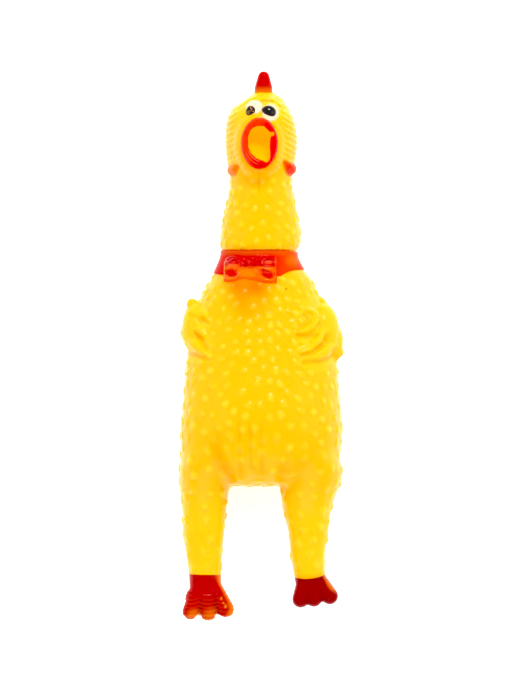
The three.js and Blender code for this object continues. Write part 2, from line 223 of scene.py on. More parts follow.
class Clay:
    """Overlapping closed forms, to be fused into one skin."""

    def __init__(self):
        self.points, self.faces = [], []

    def add(self, points, faces):
        start = len(self.points)
        self.points.extend(tuple(p) for p in points)
        self.faces.extend(tuple(start + i for i in face) for face in faces)

    def loft(self, rows, sides=64, floor=None):
        across, deep = rounded_square(np.arange(sides) / sides * 2 * np.pi)
        points = []
        for y, xc, zc, hw, hd in rows:
            z = zc + hd * deep
            if floor is not None:
                z = np.maximum(z, floor)
            points.extend(zip(xc + hw * across, np.full(sides, y), z))
        faces = [tuple(range(sides)), tuple(len(points) - 1 - i for i in range(sides))]
        for ring in range(len(rows) - 1):
            for side in range(sides):
                here, there = ring * sides + side, ring * sides + (side + 1) % sides
                faces.append((here, here + sides, there + sides, there))
        self.add(points, faces)

    def ball(self, centre, radii, sides=14):
        rings = sides // 2
        points = [(centre[0], centre[1], centre[2] - radii[2])]
        for i in range(1, rings):
            lift = math.pi * (i / rings - 0.5)
            for j in range(sides):
                points.append(on_ball(centre, radii, lift, 2 * math.pi * j / sides))
        points.append((centre[0], centre[1], centre[2] + radii[2]))
        top = len(points) - 1
        faces = []
        for j in range(sides):
            k = (j + 1) % sides
            faces.append((0, 1 + k, 1 + j))
            faces.append((top, top - sides + j, top - sides + k))
            for i in range(rings - 2):
                a = 1 + i * sides
                faces.append((a + j, a + k, a + sides + k, a + sides + j))
        self.add(points, faces)

    def beads(self, points, radii, flat=1.0, step=0.7):
        """Balls close together along a bent line; radii are given at its points."""
        path = np.array(points, float)
        radii = np.interp(np.linspace(0, 1, len(path)), np.linspace(0, 1, len(radii)), radii)
        for a, b, ra, rb in zip(path[:-1], path[1:], radii[:-1], radii[1:]):
            count = max(1, int(np.linalg.norm(b - a) / step))
            for i in range(count + 1):
                t = i / count
                r = ra + (rb - ra) * t
                self.ball(a + (b - a) * t, (r, r, r * flat), 12)

    def fused(self, voxel):
        """The outside of all the forms together, as (points, quads)."""
        mesh = bpy.data.meshes.new("clay")
        mesh.from_pydata(self.points, [], self.faces)
        obj = new_object("clay", mesh)
        remesh = obj.modifiers.new("fuse", "REMESH")
        remesh.mode = "VOXEL"
        remesh.voxel_size = voxel
        done = obj.evaluated_get(bpy.context.evaluated_depsgraph_get()).data
        points = np.empty(len(done.vertices) * 3)
        done.vertices.foreach_get("co", points)
        corners = np.empty(len(done.loops), np.int32)
        done.loops.foreach_get("vertex_index", corners)
        bpy.data.objects.remove(obj)
        bpy.data.meshes.remove(mesh)
        return points.reshape(-1, 3), corners.reshape(-1, 4)


def edges_of(quads):
    pairs = np.concatenate([quads[:, [i, (i + 1) % 4]] for i in range(4)])
    return np.unique(np.sort(pairs, axis=1), axis=0)


def smoothed(points, edges, weight, rounds):
    """Points drawn towards their neighbours, each by its own weight."""
    count = len(points)
    a, b = edges.T
    degree = np.maximum(np.bincount(a, minlength=count) + np.bincount(b, minlength=count), 1)
    points = points.copy()
    for _ in range(rounds):
        for axis in range(3):
            c = points[:, axis]
            total = np.bincount(a, c[b], count) + np.bincount(b, c[a], count)
            points[:, axis] += weight * (total / degree - c)
    return points


def normals_of(points, quads):
    p = points[quads]
    face = np.cross(p[:, 2] - p[:, 0], p[:, 3] - p[:, 1])
    total = np.zeros_like(points)
    for corner in range(4):
        for axis in range(3):
            total[:, axis] += np.bincount(quads[:, corner], face[:, axis], len(points))
    return total / np.maximum(np.linalg.norm(total, axis=1), 1e-9)[:, None]


def ramp(value, low, high):
    """0 below low, 1 above high, smooth between; low may be the larger."""
    t = np.clip((value - low) / (high - low), 0, 1)
    return t * t * (3 - 2 * t)


def near_line(x, y, points, width):
    """1 on a bent line through (x, y) points, falling to 0 at the given distance from it."""
    best = np.full(len(x), 1e9)
    for (ax, ay), (bx, by) in zip(points[:-1], points[1:]):
        dx, dy = bx - ax, by - ay
        t = np.clip(((x - ax) * dx + (y - ay) * dy) / (dx * dx + dy * dy), 0, 1)
        best = np.minimum(best, np.hypot(x - ax - t * dx, y - ay - t * dy))
    return ramp(best, width, 0)


def speckle(points, scale, seed=0.0):
    """Smooth noise from -1 to 1 at each point, with features about scale millimetres across."""
    shift = Vector((seed, seed * 1.7, -seed))
    return np.array([noise.noise(Vector(p) / scale + shift) for p in points])


def inside_drop(x, y, z, upper, lower, small, large):
    """Distance inside a drop's outline, negative outside it; the drop is drawn out towards +Z."""
    dx, dy = lower[0] - upper[0], lower[1] - upper[1]
    t = np.clip(((x - upper[0]) * dx + (y - upper[1]) * dy) / (dx * dx + dy * dy), 0, 1)
    radius = small + (large - small) * t
    up = z - upper[2] - t * (lower[2] - upper[2])
    up = np.where(up > 0, 0.35, 0.8) * up
    return radius - np.hypot(np.hypot(x - upper[0] - t * dx, y - upper[1] - t * dy), up)


# ---- Fusing trunk, legs, toes, muzzle, comb, eyes, wattles and wings ----
def on_front(points, lift):
    """Those (x, y) points on the trunk's front, lifted."""
    return [(x, y, front_z(x, y) + lift) for x, y in points]


clay = Clay()
clay.loft(TRUNK_ROWS, floor=0)
for side, stations in LEGS.items():
    clay.loft(resampled(stations), 40)
    ankle = stations[0]
    root = (ankle[1], ankle[0] + 4, ankle[2])
    for x, y, radius in TOES[side]:
        clay.beads([root, (x, y, TOE_Z)], [TOE_BALL, radius], step=1.2)
    # Webs between the toes.
    for one, other in zip(TOES[side][:-1], TOES[side][1:]):
        x, y = ((one[k] + other[k]) / 2 for k in (0, 1))
        clay.ball((x, y + 2.6, TOE_Z - 3), (5, 5, 3.8), 20)

# The balls of the feet.
clay.ball((-30.8, -142.4, 30.5), (12.2, 9.2, 7), 28)
clay.ball((29.8, -137.8, 30.5), (11, 6.8, 7), 28)

# The muzzle narrows from the cheeks to the open beak.
sides = 64
muzzle_points, muzzle_faces = [], []
for share, z in MUZZLE_RINGS:
    for i in range(sides):
        turn = 2 * math.pi * i / sides
        across, along = MUZZLE[0] * share * math.cos(turn), MUZZLE[1] * share * math.sin(turn)
        muzzle_points.append((MOUTH.x + across, MOUTH.y + along, z))
last_ring = len(muzzle_points) - sides
muzzle_faces.append(tuple(reversed(range(sides))))
muzzle_faces.append(tuple(range(last_ring, last_ring + sides)))
for ring in range(0, last_ring, sides):
    for i in range(sides):
        j = (i + 1) % sides
        muzzle_faces.append((ring + i, ring + j, ring + sides + j, ring + sides + i))
clay.add(muzzle_points, muzzle_faces)

for tip_y, tip_z, root_z, middle, tip in COMB:
    halfway = (1.4, (COMB_ROOT_Y + tip_y) / 2, (root_z + tip_z) / 2)
    clay.beads([(1.2, COMB_ROOT_Y, root_z), halfway, (1.5, tip_y, tip_z)], [5.2, middle, tip])
clay.beads([(1.2, 144, 35.5), (1.2, 141, 19)], [3.4, 2.4])

for x, y, half_width, half_height in EYES.values():
    clay.ball((x, y, EYE_Z), (half_width, half_height, EYE_DEPTH), 32)
for upper, lower, small, large in WATTLES.values():
    middle = ((upper[0] + lower[0]) / 2, (upper[1] + lower[1]) / 2, 42)
    clay.beads([upper, middle, lower], [small, (small + large) / 2, large])
# The brow stands over both eyes.
brow = [(-9.5, 136.4), (-4, 139.2), (1, 139.4), (6, 138.6), (10.5, 135)]
clay.beads(on_front(brow, -1.2), [1.6, 2.2, 2, 2.2, 1.5])

# Ridges of the folded wings: line, radii along it. The balls below are the wings' bodies.
WING_LEFT = [
    (on_front([(33, 25), (37, 15), (39.6, 5), (40.6, -3)], -4), [3.5, 6, 7, 5.6]),
    (on_front([(40, 2), (36, -3.5), (31, -5.8), (23.5, -7)], -0.8), [4.2, 3.7, 3, 1.9]),
    (
        on_front([(26, 20.6), (30.2, 18.8), (31, 15.5), (28.3, 11), (24, 8.6), (20.5, 7.6)], 0.5),
        [1.5, 2, 2.4, 2.3, 1.9, 1.2],
    ),
    (on_front([(34.5, 9.5), (32, 3.2), (27, -1.8), (22.7, -3.4)], 0.5), [2.6, 2.8, 2.4, 1.4]),
    (on_front([(20.8, 2.4), (25.6, 1.8), (23, -1.4)], 0), [0.9, 1.3, 0.9]),
    (on_front([(15.6, 19.8), (18.6, 18.4), (19, 15.4)], 0.1), [0.9, 1.2, 0.9]),
    (on_front([(20, 22.4), (22.8, 21), (22.6, 18.2)], 0.1), [0.9, 1.2, 0.9]),
    (on_front([(17.6, 13.6), (21.4, 14.4), (22.4, 11.8)], 0.1), [0.9, 1.2, 0.9]),
]
WING_RIGHT = [
    (on_front([(-36.5, 23), (-38.5, 16), (-39.6, 8), (-38.6, 2.5)], -4), [3.5, 5, 6.4, 5]),
    (on_front([(-39, 24), (-35.5, 21), (-31.4, 17.4)], 0.3), [3.4, 3.2, 1.7]),
    (on_front([(-40.5, 15.5), (-37, 12.4), (-33.4, 9), (-31.6, 6)], 0.3), [3.2, 3.3, 2.6, 1.4]),
    (on_front([(-40.8, 5), (-36.6, 1), (-31.4, -4)], 0.3), [3.6, 3.4, 1.6]),
]
clay.ball((35, 8, 33), (9.4, 16.5, 11.5), 32)
clay.ball((-36.2, 11, 33), (8.4, 14.5, 10.5), 32)
for path, radii in WING_LEFT + WING_RIGHT:
    clay.beads(path, radii)

points, quads = clay.fused(VOXEL)
edges = edges_of(quads)
x, y, z = points.T
# Joins are worked softly; toes, comb and wings keep their form.
points = smoothed(points, edges, 0.42, 8)
hips = ramp(y, -98, -84) * ramp(y, -46, -58)
points = smoothed(points, edges, 0.5 * hips, 60)
muzzle = ramp(np.hypot((x - MOUTH.x) / 20, (y - MOUTH.y) / 26), 1, 0.8)
muzzle = muzzle * ramp(z, 30, 40) * ramp(z, 52.6, 51)
points = smoothed(points, edges, 0.5 * muzzle, 25)
crown = ramp(y, 134, 140) * ramp(y, 146, 142)
points = smoothed(points, edges, 0.5 * crown, 12)
x, y, z = points.T
normals = normals_of(points, quads)

# ---- Relief: creases, ribs, feathers, toe rings and pimples ----
front = ramp(normals[:, 2], 0.1, 0.5)
relief = np.zeros(len(points))
fold_right = [(-23, -44), (-25.4, -57), (-22.5, -66), (-17.5, -73), (-15.5, -81)]
crease = near_line(x, y, fold_right, 5.5) * front * ramp(y, -42, -62)
fold_left = near_line(x, y, [(15, -58), (12.5, -68), (10.5, -80)], 5) * front * ramp(y, -56, -72)
crease = np.maximum(crease, 0.5 * fold_left)
relief -= 0.9 * crease
ribs = np.cos(2 * np.pi * (x + 2.6 + 0.03 * (y + 60)) / RIB_PITCH)
ribs *= 0.7 + 0.8 * speckle(points, 12, 6.0)
ribs *= ramp(x, -17, -12) * ramp(x, 5, 0) * ramp(y, -77, -69) * ramp(y, -38, -48) * front
relief += 0.3 * ribs

# Gaps between the wings' feathers.
feather_gaps = np.zeros(len(points))
for gap in [
    [(-39.8, 18), (-35, 15.6), (-30.6, 13.6)],
    [(-37.6, 7.6), (-34, 4.6), (-30.8, -1.4)],
    [(-42, -2.6), (-36, -5), (-30.6, -7.4)],
    [(20.6, 5.8), (26, 5.4), (31, 6.4)],
    [(22.4, -5.2), (28, -3.8), (33.6, 0.4), (37, 6)],
    [(24, -9.4), (33, -8.6), (39, -5.6), (41.6, -1.4)],
    [(24.4, 17.4), (27, 14.4), (23, 11)],
]:
    feather_gaps = np.maximum(feather_gaps, near_line(x, y, gap, 2) * ramp(normals[:, 2], 0, 0.3))
relief -= 0.65 * feather_gaps

# Rows of short feathers on the head's sides, staggered from row to row.
around = np.arctan2(z - 30, x)
along = y + 0.5 * np.abs(x) + 0.5 * speckle(points, 7, 2.0)
row = np.floor(along / FEATHER_PITCH)
scale = np.cos(2 * np.pi * along / FEATHER_PITCH)
scallop = np.cos(2 * np.pi * (around * 19 / 4.2 + 0.5 * row))
face = np.hypot((x - MOUTH.x) / 15.5, (y - 119) / 22)
feathered = np.maximum(ramp(face, 0.85, 1.05), ramp(z, 40, 34))
feathered *= ramp(y, 98, 103) * ramp(y, 142, 138)
for drop in WATTLES.values():
    feathered *= ramp(inside_drop(x, y, z, *drop), -0.6, -2.6)
feathered = np.clip(feathered, 0, 1)
relief += 0.23 * feathered * (scale + 0.45 * scallop)

arch = 0.05 * (np.abs((x + 34.9) % 10 - 5)) ** 2  # each toe's rings are bent
toe_rings = np.cos(2 * np.pi * (y - arch) / TOE_RING_PITCH)
toe_rings = toe_rings * ramp(y, -136, -140) * ramp(x, 0, -2)
relief += 0.17 * toe_rings

# Where no pimples grow: wings, head, ankles, under the collar and bow, and beside the fold.
wing_area = np.maximum(
    near_line(x, y, [(-40, 23), (-38, 12), (-37, 0)], 11),
    near_line(x, y, [(33, 19), (35, 8), (31, -3)], 13.5),
)
wing_area = ramp(wing_area, 0.0, 0.1) * ramp(z, 18, 24)
bare = np.clip(
    wing_area
    + ramp(y, 92, 96)
    + ramp(y, -124, -127)
    + ramp(y, 38, 41) * ramp(y, 57, 55)
    + ramp(y, 33, 35.5) * ramp(y, 57, 55) * ramp(np.abs(x + 6), 18, 16) * front
    + 0.8 * near_line(x, y, [(-37, -52), (-34, -70)], 10) * front,
    0,
    1,
)


def spacing_at(y):
    """Least distance between pimples at y."""
    return float(np.interp(y, [-110, -60, -40, 0, 40, 90], [7.6, 7.2, 6.2, 5.3, 5.2, 5.4]))


def pimple_sites():
    """Points of the skin, in random order, each kept if it is far enough from those before it."""
    order = np.random.default_rng(7).permutation(len(points))[:9000]
    chosen = np.empty((0, 3))
    kept = []
    for i in order:
        if bare[i] > 0.5:
            continue
        apart = np.linalg.norm(chosen - points[i], axis=1)
        if len(apart) and apart.min() < spacing_at(points[i, 1]):
            continue
        chosen = np.vstack([chosen, points[i]])
        kept.append(i)
    return kept


skin_points = kdtree.KDTree(len(points))
for i, p in enumerate(points):
    skin_points.insert(p, i)
skin_points.balance()
nub, tip = np.zeros((2, len(points)))
for i in pimple_sites():
    reach = min(spacing_at(points[i, 1]) * random.uniform(0.47, 0.58), LARGEST_PIMPLE)
    height = random.uniform(0.6, 1.0)
    # pale sets how much lighter this pimple's top is painted, a painted highlight.
    pale = random.uniform(0.2, 0.8)
    stretch = Vector((random.uniform(0.85, 1.1), random.uniform(0.9, 1.15), 1))
    for co, j, _ in skin_points.find_range(points[i], reach * 1.2):
        d = co - Vector(points[i])
        share = math.hypot(d.x / stretch.x, d.y / stretch.y, d.z) / reach
        if share < 1:
            rise = min((1 - share) / 0.8, 1)
            rise *= rise * (3 - 2 * rise)
            nub[j] = max(nub[j], height * rise)
            tip[j] = max(tip[j], pale * rise)
relief += PIMPLE_HEIGHT * nub * (1 - 0.7 * crease)
# The neck's foot stands out over the collar.
relief += 0.4 * ramp(y, 54.3, 55) * ramp(y, 60, 56)

points = points + normals * relief[:, None]
points[:, 2] = np.maximum(points[:, 2], FLOOR_GAP)
x, y, z = points.T
normals = normals_of(points, quads)

# ---- Paint, painted shade and painted highlights, as masks from 0 to 1 on the skin's points ----
blotch = speckle(points, 9, 3.0)
fine = speckle(points, 2.2, 8.0)


def paint_masks():
    """Shares from 0 to 1, but "red" is the distance in millimetres inside a red area's edge."""
    masks = {}
    red = np.full(len(x), -5.0)
    # Comb: red, thin and orange at its foot.
    comb = np.minimum(y - 143 + 0.3 * fine, 5.6 - np.abs(x - 1.4))
    red = np.maximum(red, comb)
    thin = 0.9 * ramp(y, 147.2, 143.4) * (y > 140)
    # Wattles: sprayed orange from outside, with a red core.
    left, right = (inside_drop(x, y, z, *WATTLES[side]) + 0.25 * fine for side in ("left", "right"))
    masks["orange"] = np.maximum(ramp(right, -1, 0.5), ramp(left, -1, 0.4))
    masks["warm"] = np.maximum(0.4 * ramp(right, 1, 3), ramp(left, -0.4, 1.4))
    # Feet, dipped; thin paint shows orange on toe tips and along the outer edge.
    line_right = -128.7 + 0.15 * fine - 0.02 * (x + 31)
    line_left = -131 + 0.018 * (x - 25) ** 2 + 0.08 * fine
    red = np.maximum(red, np.where(x < 0, line_right, line_left) - y)
    masks["orange"] = np.maximum(masks["orange"], 0.4 * ramp(y, line_left + 3, line_left) * (x > 0))
    outer = np.interp(y, [-152, -148, -144, -138, -133, -128], [-17, -15, -16, -19, -21.6, -23])
    edge = ramp(x - outer, -4, -1.2) * (x < 0)
    outer = np.interp(y, [-146, -141, -135, -130], [42.5, 43.4, 39, 36.8])
    edge = np.maximum(edge, 0.7 * ramp(x - outer, -2.6, -0.4) * ramp(y, -140, -136) * (x > 0))
    tips = np.zeros(len(x))
    for tip_x, tip_y, size in ((-37.6, -154.4, 6.6), (-28.2, -155, 8)):
        tips = np.maximum(tips, ramp(np.hypot(x - tip_x, 0.8 * (y - tip_y)), size, 2))
    tips = np.clip(tips * (0.9 + 0.3 * toe_rings + 0.4 * blotch), 0, 1) * (x < -24.6)
    chips = np.zeros(len(x))
    for chip_x, chip_y, size in ((-22.4, -142.1, 0.9), (-21.2, -144.6, 0.7), (-20, -146.4, 1)):
        chips = np.maximum(chips, ramp(np.hypot(x - chip_x, (y - chip_y) * 0.7), size, size - 0.5))
    worn = 0.15 * ramp(toe_rings, 0, 1) * ramp(y, -138, -144) * (x < 0)
    masks["thin"] = np.maximum(thin, np.maximum.reduce([edge, tips, chips, worn]) * (y < -124))
    # Painted shade: darker lines between the toes. Each foot's own deeper or lighter red is its
    # paint.
    toe_gap_shade = np.zeros(len(x))
    for gap in TOE_GAPS:
        toe_gap_shade = np.maximum(toe_gap_shade, near_line(x, y, gap, 1.3) * (z > TOE_Z))
    masks["dark"] = np.where(y < -120, np.where(x > 0, 0.95, 0.42), 0.25) + 0.5 * toe_gap_shade
    masks["red"] = red
    # Overspray below the bow.
    spray = ramp(np.hypot((x + 7) / 19, (y - 37) / 30), 1.05, 0.1) * front
    under_bow = ramp(np.hypot((x + 6.5) / 18, (y - 38) / 11), 1.25, 0.3) * front
    spray = np.clip(spray * (0.62 + 0.3 * blotch) + 0.22 * under_bow, 0, 1)
    masks["spray"] = spray * ramp(y, 58, 54)
    # Eye whites, thin where they meet the yellow.
    whites = np.zeros(len(x))
    for ex, ey, half_width, half_height in EYE_WHITES:
        d = np.hypot((x - ex) / half_width, (y - ey) / half_height)
        whites = np.maximum(whites, ramp(d + 0.07 * fine, 1.05, 0.75))
    masks["white"] = np.clip(whites * ramp(z, 38, 42) * (0.9 + 0.25 * fine), 0, 1)
    # Deeper orange along the mould seam, and painted shade as deeper orange in the creases, feather
    # gaps, rib valleys, brow fold and round the muzzle's foot.
    seam = near_line(x, y, [(-1.2, 99.5), (-1.1, 88)], 0.8) * front
    fold = near_line(x, y, [(-0.5, 138), (3, 138.3), (6.5, 138.1)], 1.1) * front
    fold = np.maximum(fold, near_line(x, y, [(-0.2, 134), (0.1, 131)], 0.8) * front)
    rib_and_muzzle_shade = np.clip(-ribs, 0, 1) * 0.4
    lip = np.hypot((x - MOUTH.x) / 12, (y - MOUTH.y) / 16)
    # Painted shade round the foot of the muzzle.
    rib_and_muzzle_shade += 0.2 * ramp(lip, 1.2, 0.98) * ramp(z, 38, 46)
    groove = 0.3 * feather_gaps + 0.55 * crease + 0.6 * seam + 0.9 * fold + rib_and_muzzle_shade
    masks["groove"] = np.clip(groove, 0, 1)
    masks["pale"] = np.clip(ramp(y, -66, -96) + 0.8 * wing_area + ramp(y, 124, 134), 0, 1)
    masks["dirt"] = ramp(np.hypot(x - 14.1, y - 32.4), 0.7, 0.2) * (z > 30)
    # Pimple tops painted lighter, as a painted highlight.
    masks["nub"] = tip
    return masks


masks = paint_masks()

# ---- Materials ----
# Sockets of a Mix node that is set to colours.
FACTOR, BELOW, ABOVE, RESULT = 0, 6, 7, 2


def new_material(name, values):
    """A material with those shader values, its node tree and its shader."""
    material = bpy.data.materials.new(name)
    material.use_nodes = True
    tree = material.node_tree
    shader = tree.nodes["Principled BSDF"]
    for socket, value in values.items():
        shader.inputs[socket].default_value = value
    return material, tree, shader


def linear(red, green, blue):
    """A colour given in 0-255 screen values, as Blender wants it."""
    colour = [c / 255 for c in (red, green, blue)]
    colour = [c / 12.92 if c < 0.0404 else ((c + 0.055) / 1.055) ** 2.4 for c in colour]
    return (*colour, 1)


def attribute(tree, name):
    node = tree.nodes.new("ShaderNodeAttribute")
    node.attribute_name = name
    return node


def mixed(tree, factor, below, above):
    """below where factor is 0, above where it is 1; below and above are colours or sockets."""
    node = tree.nodes.new("ShaderNodeMix")
    node.data_type = "RGBA"
    tree.links.new(factor, node.inputs[FACTOR])
    for value, socket in ((below, node.inputs[BELOW]), (above, node.inputs[ABOVE])):
        if isinstance(value, tuple):
            socket.default_value = value
        else:
            tree.links.new(value, socket)
    return node.outputs[RESULT]


def grain(tree, scale, detail, vector=None):
    """Noise from 0 to 1, over the resting points unless another vector is given."""
    node = tree.nodes.new("ShaderNodeTexNoise")
    node.inputs["Scale"].default_value = scale
    node.inputs["Detail"].default_value = detail
    source = vector or attribute(tree, "rest").outputs["Vector"]
    tree.links.new(source, node.inputs["Vector"])
    return node.outputs["Fac"]


def skin_material(name, roughness, gloss, shine, soft):
    """Vinyl with its paint; shine tints the reflections, soft is the share of light that enters."""
    values = {
        "Roughness": roughness,
        "Specular IOR Level": gloss,
        "Specular Tint": shine,
        "Subsurface Weight": soft,
        "Subsurface Radius": (1.0, 0.5, 0.08),
        "Subsurface Scale": 1.5 * MM,
    }
    material, tree, shader = new_material(name, values)
    mask = {key: attribute(tree, key).outputs["Fac"] for key in masks}
    yellow = mixed(tree, mask["pale"], linear(255, 189, 20), linear(255, 199, 26))
    # Painted highlight: lighter yellow on the pimple tops.
    yellow = mixed(tree, mask["nub"], yellow, linear(255, 209, 44))
    # Painted shade: deeper orange in creases, folds and round the muzzle, with the mould seam's
    # deeper orange.
    colour = mixed(tree, mask["groove"], yellow, linear(255, 158, 0))
    colour = mixed(tree, mask["spray"], colour, linear(255, 104, 0))
    colour = mixed(tree, mask["white"], colour, linear(255, 222, 196))
    colour = mixed(tree, mask["orange"], colour, linear(254, 124, 0))
    colour = mixed(tree, mask["warm"], colour, linear(255, 40, 0))
    # dark holds each foot's deeper red paint and the painted shade between the toes.
    red = mixed(tree, mask["dark"], linear(206, 0, 0), linear(146, 0, 10))
    red = mixed(tree, mask["thin"], red, linear(232, 112, 10))
    edge = tree.nodes.new("ShaderNodeMapRange")
    edge.interpolation_type = "SMOOTHSTEP"
    edge.inputs["From Min"].default_value = -0.25
    edge.inputs["From Max"].default_value = 0.25
    tree.links.new(mask["red"], edge.inputs["Value"])
    colour = mixed(tree, edge.outputs["Result"], colour, red)
    colour = mixed(tree, mask["dirt"], colour, linear(150, 50, 0))
    tree.links.new(colour, shader.inputs["Base Color"])
    return material


BARE_SKIN = skin_material("chicken_vinyl", 0.23, 0.18, (1, 0.95, 0.8, 1), 0.4)
PAINTED_SKIN = skin_material("chicken_painted_vinyl", 0.22, 0.14, (1, 0.7, 0.66, 1), 0.1)

# ---- Cutting the skin into pieces, some attached to the bodies ----
centre = points[quads].mean(axis=1)
cx, cy, cz = centre.T
mouth_hole = (np.hypot((cx - MOUTH.x) / 8, (cy - MOUTH.y) / 12) < 1) & (cz > 49)
BELLY_Z = 56
belly = (cz > BELLY_Z) & (cy > -80) & (cy < 12) & (np.abs(cx) < 36)

SKIRT = 3.5  # how far each piece runs on under its neighbour
SKIRT_DEPTH = 0.3
# Heights of the cuts.
COMB_FOOT, HEAD_FOOT, NECK_MIDDLE, NECK_FOOT = 142.6, 99.5, 74.25, 51.5
HIP, KNEE, PAINT = -80.6, -106, -131.5
END = 400  # beyond the chicken


def skin_piece(name, inside, skirt=None, material=BARE_SKIN, slot="yellow_vinyl"):
    """The quads marked inside, with a hidden skirt under the quads marked skirt."""
    used = inside if skirt is None else inside | skirt
    keep = np.unique(quads[used])
    number = np.full(len(points), -1)
    number[keep] = np.arange(len(keep))
    own = np.zeros(len(points), bool)
    own[np.unique(quads[inside])] = True
    at = points[keep] - normals[keep] * np.where(own[keep], 0, SKIRT_DEPTH)[:, None]
    mesh = bpy.data.meshes.new(name)
    faces = number[quads[used]]
    mesh.vertices.add(len(at))
    mesh.vertices.foreach_set("co", (at * MM).ravel())
    mesh.loops.add(faces.size)
    mesh.loops.foreach_set("vertex_index", faces.ravel().astype(np.int32))
    mesh.polygons.add(len(faces))
    mesh.polygons.foreach_set("loop_start", np.arange(0, faces.size, 4, dtype=np.int32))
    mesh.update(calc_edges=True)
    mesh.validate()
    mesh.polygons.foreach_set("use_smooth", np.ones(len(faces), bool))
    rest = mesh.attributes.new("rest", "FLOAT_VECTOR", "POINT")
    rest.data.foreach_set("vector", points[keep].astype(np.float32).ravel())
    for mask, values in masks.items():
        layer = mesh.attributes.new(mask, "FLOAT", "POINT")
        layer.data.foreach_set("value", values[keep].astype(np.float32))
    mesh.normals_split_custom_set_from_vertices([tuple(n) for n in normals[keep]])
    mesh.materials.append(material)
    obj = new_object(name, mesh)
    return obj


def band(low, high, side=0):
    """Quads between two heights, and optionally on one side, and the skirt quads beyond them."""
    on_side = np.ones(len(cy), bool) if side == 0 else cx * side > 0
    inside = (cy > low) & (cy <= high) & on_side & ~mouth_hole
    skirt = (cy > low - SKIRT) & (cy <= high + SKIRT) & on_side & ~inside & ~mouth_hole
    return inside, skirt


on_wattle = {word: inside_drop(cx, cy, cz, *drop) > -0.3 for word, drop in WATTLES.items()}
inside, skirt = band(HEAD_FOOT, COMB_FOOT)
head = skin_piece("head_skin", inside & ~on_wattle["left"] & ~on_wattle["right"], skirt)
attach(head, "head")
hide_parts("head_shell", "eye_left", "eye_right")
for word, area in on_wattle.items():
    wattle = skin_piece(f"wattle_skin_{word}", inside & area, None, PAINTED_SKIN, "red_paint")
    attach(wattle, "head")
    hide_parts(f"wattle_{word}")

comb = skin_piece("comb_skin", band(COMB_FOOT, END)[0], None, PAINTED_SKIN, "red_paint")
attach(comb, "head")
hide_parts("comb")

upper_throat = skin_piece("upper_throat_skin", *band(NECK_MIDDLE, HEAD_FOOT))
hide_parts("neck_shell", "throat_nod_ring")
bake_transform(upper_throat)

lower_throat = skin_piece("lower_throat_skin", *band(NECK_FOOT, NECK_MIDDLE))
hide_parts("throat_sway_ring")
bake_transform(lower_throat)

inside, skirt = band(HIP, NECK_FOOT)
torso = skin_piece("torso_skin", inside & ~belly, skirt)
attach(torso, "torso")
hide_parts("torso_shell", "wing_left", "wing_right")

belly_skin = skin_piece("belly_skin", belly)
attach(belly_skin, "torso")
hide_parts("belly_panel")
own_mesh(belly_skin)

for word, sign, foot_slot in (("left", 1, "dark_red_paint"), ("right", -1, "red_paint")):
    thigh = skin_piece(f"thigh_skin_{word}", *band(KNEE, HIP, sign))
    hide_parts(f"hip_ring_{word}", f"leg_shell_{word}")
    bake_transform(thigh)
    shin = skin_piece(f"shin_skin_{word}", *band(PAINT, KNEE, sign))
    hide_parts(f"ankle_ring_{word}")
    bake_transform(shin)
    foot = skin_piece(f"foot_skin_{word}", *band(-END, PAINT, sign), PAINTED_SKIN, foot_slot)
    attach(foot, f"foot_{word}")
    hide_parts(f"foot_{word}")


# ---- Separate pieces: lips and mouth, then pupils, collar and bow ----
def grid_piece(name, rows, colours, material, closed=False):
    """A surface through rows of points, with a colour for each; closed joins its sides."""
    rows, colours = np.asarray(rows, float), np.asarray(colours, float)
    down, across = rows.shape[:2]
    last = across if closed else across - 1
    faces = []
    for i in range(down - 1):
        for j in range(last):
            k = (j + 1) % across
            here, there = i * across, (i + 1) * across
            faces.append((here + j, here + k, there + k, there + j))
    mesh = bpy.data.meshes.new(name)
    mesh.from_pydata((rows.reshape(-1, 3) * MM).tolist(), [], faces)
    mesh.polygons.foreach_set("use_smooth", np.ones(len(faces), bool))
    tint = mesh.attributes.new("tint", "FLOAT_COLOR", "POINT")
    flat = colours.reshape(-1, 3)
    opaque = np.column_stack([flat, np.ones(len(flat))])
    tint.data.foreach_set("color", opaque.astype(np.float32).ravel())
    rest = mesh.attributes.new("rest", "FLOAT_VECTOR", "POINT")
    rest.data.foreach_set("vector", rows.reshape(-1, 3).astype(np.float32).ravel())
    mesh.materials.append(material)
    obj = new_object(name, mesh)
    return obj


def tinted_material(name, roughness, glow=0.0, gloss=0.15, shine=(1, 0.5, 0.42, 1)):
    """Painted or bare vinyl whose colour is stored on the points; with glow it also glows in that
    colour, a painted light.
    """
    values = {"Roughness": roughness, "Specular IOR Level": gloss, "Specular Tint": shine}
    material, tree, shader = new_material(name, values)
    tint = attribute(tree, "tint").outputs["Color"]
    tree.links.new(tint, shader.inputs["Base Color"])
    if glow:
        tree.links.new(tint, shader.inputs["Emission Color"])
        shader.inputs["Emission Strength"].default_value = glow
    return material


def paints(*colours):
    """Screen colours (0-255) as linear rows."""
    return [np.array(linear(*c)[:3]) for c in colours]


def layered(base, *layers):
    """Base colour under (share, colour) layers; shares are arrays over the points."""
    colour = np.ones(np.shape(layers[0][0]) + (1,)) * base
    for share, over in layers:
        share = np.clip(share, 0, 1)[..., None]
        colour = colour * (1 - share) + share * over
    return colour


def noise_over(rows, scale, seed):
    """speckle() over rows of points."""
    flat = np.asarray(rows, float).reshape(-1, 3)
    return speckle(flat, scale, seed).reshape(np.asarray(rows).shape[:-1])


